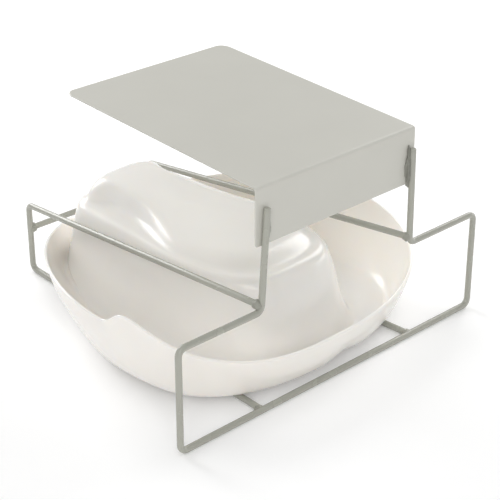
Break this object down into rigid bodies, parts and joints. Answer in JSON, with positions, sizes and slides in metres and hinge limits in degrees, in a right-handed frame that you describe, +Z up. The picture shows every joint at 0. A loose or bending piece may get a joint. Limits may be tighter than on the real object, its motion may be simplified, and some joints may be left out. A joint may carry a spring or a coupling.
{
  "type": "bedpan in a hanging wire rack",
  "caption": "White one-piece bedpan stored upside down in a painted bent-wire rack whose bent sheet plate slips onto a bed frame.",
  "frame": {"origin": "on the floor plane, under the middle of the whole object's box", "axes": "+X along the front frame and the plate's front edge, +Y from the open front to the back of the rack, +Z up"},
  "size_m": [0.381, 0.3692, 0.2293],
  "materials": {
    "painted_wire": "grey-green semi-gloss powder paint on round steel wire",
    "painted_sheet": "grey-green semi-gloss powder paint on bent sheet steel",
    "painted_weld": "painted-over weld metal, lumpy",
    "white_plastic": "moulded ivory-white polypropylene, softly glossy"
  },
  "bodies": {
    "rack": {"front_frame": "painted_wire", "left_side_wire": "painted_wire", "right_side_wire": "painted_wire", "rear_cross_wire": "painted_wire", "hanger_plate": "painted_sheet", "left_post_weld": "painted_weld", "right_post_weld": "painted_weld", "left_shoulder_weld": "painted_weld", "right_shoulder_weld": "painted_weld", "left_rail_weld": "painted_weld", "right_rail_weld": "painted_weld", "left_rear_weld": "painted_weld", "right_rear_weld": "painted_weld"},
    "pan": {"bedpan": "white_plastic"}
  },
  "joints": [
    {"name": "pan_slide", "type": "slide", "parent": "rack", "child": "pan", "axis": [0, -1, 0], "range_m": [0, 0.38]}
  ]
}
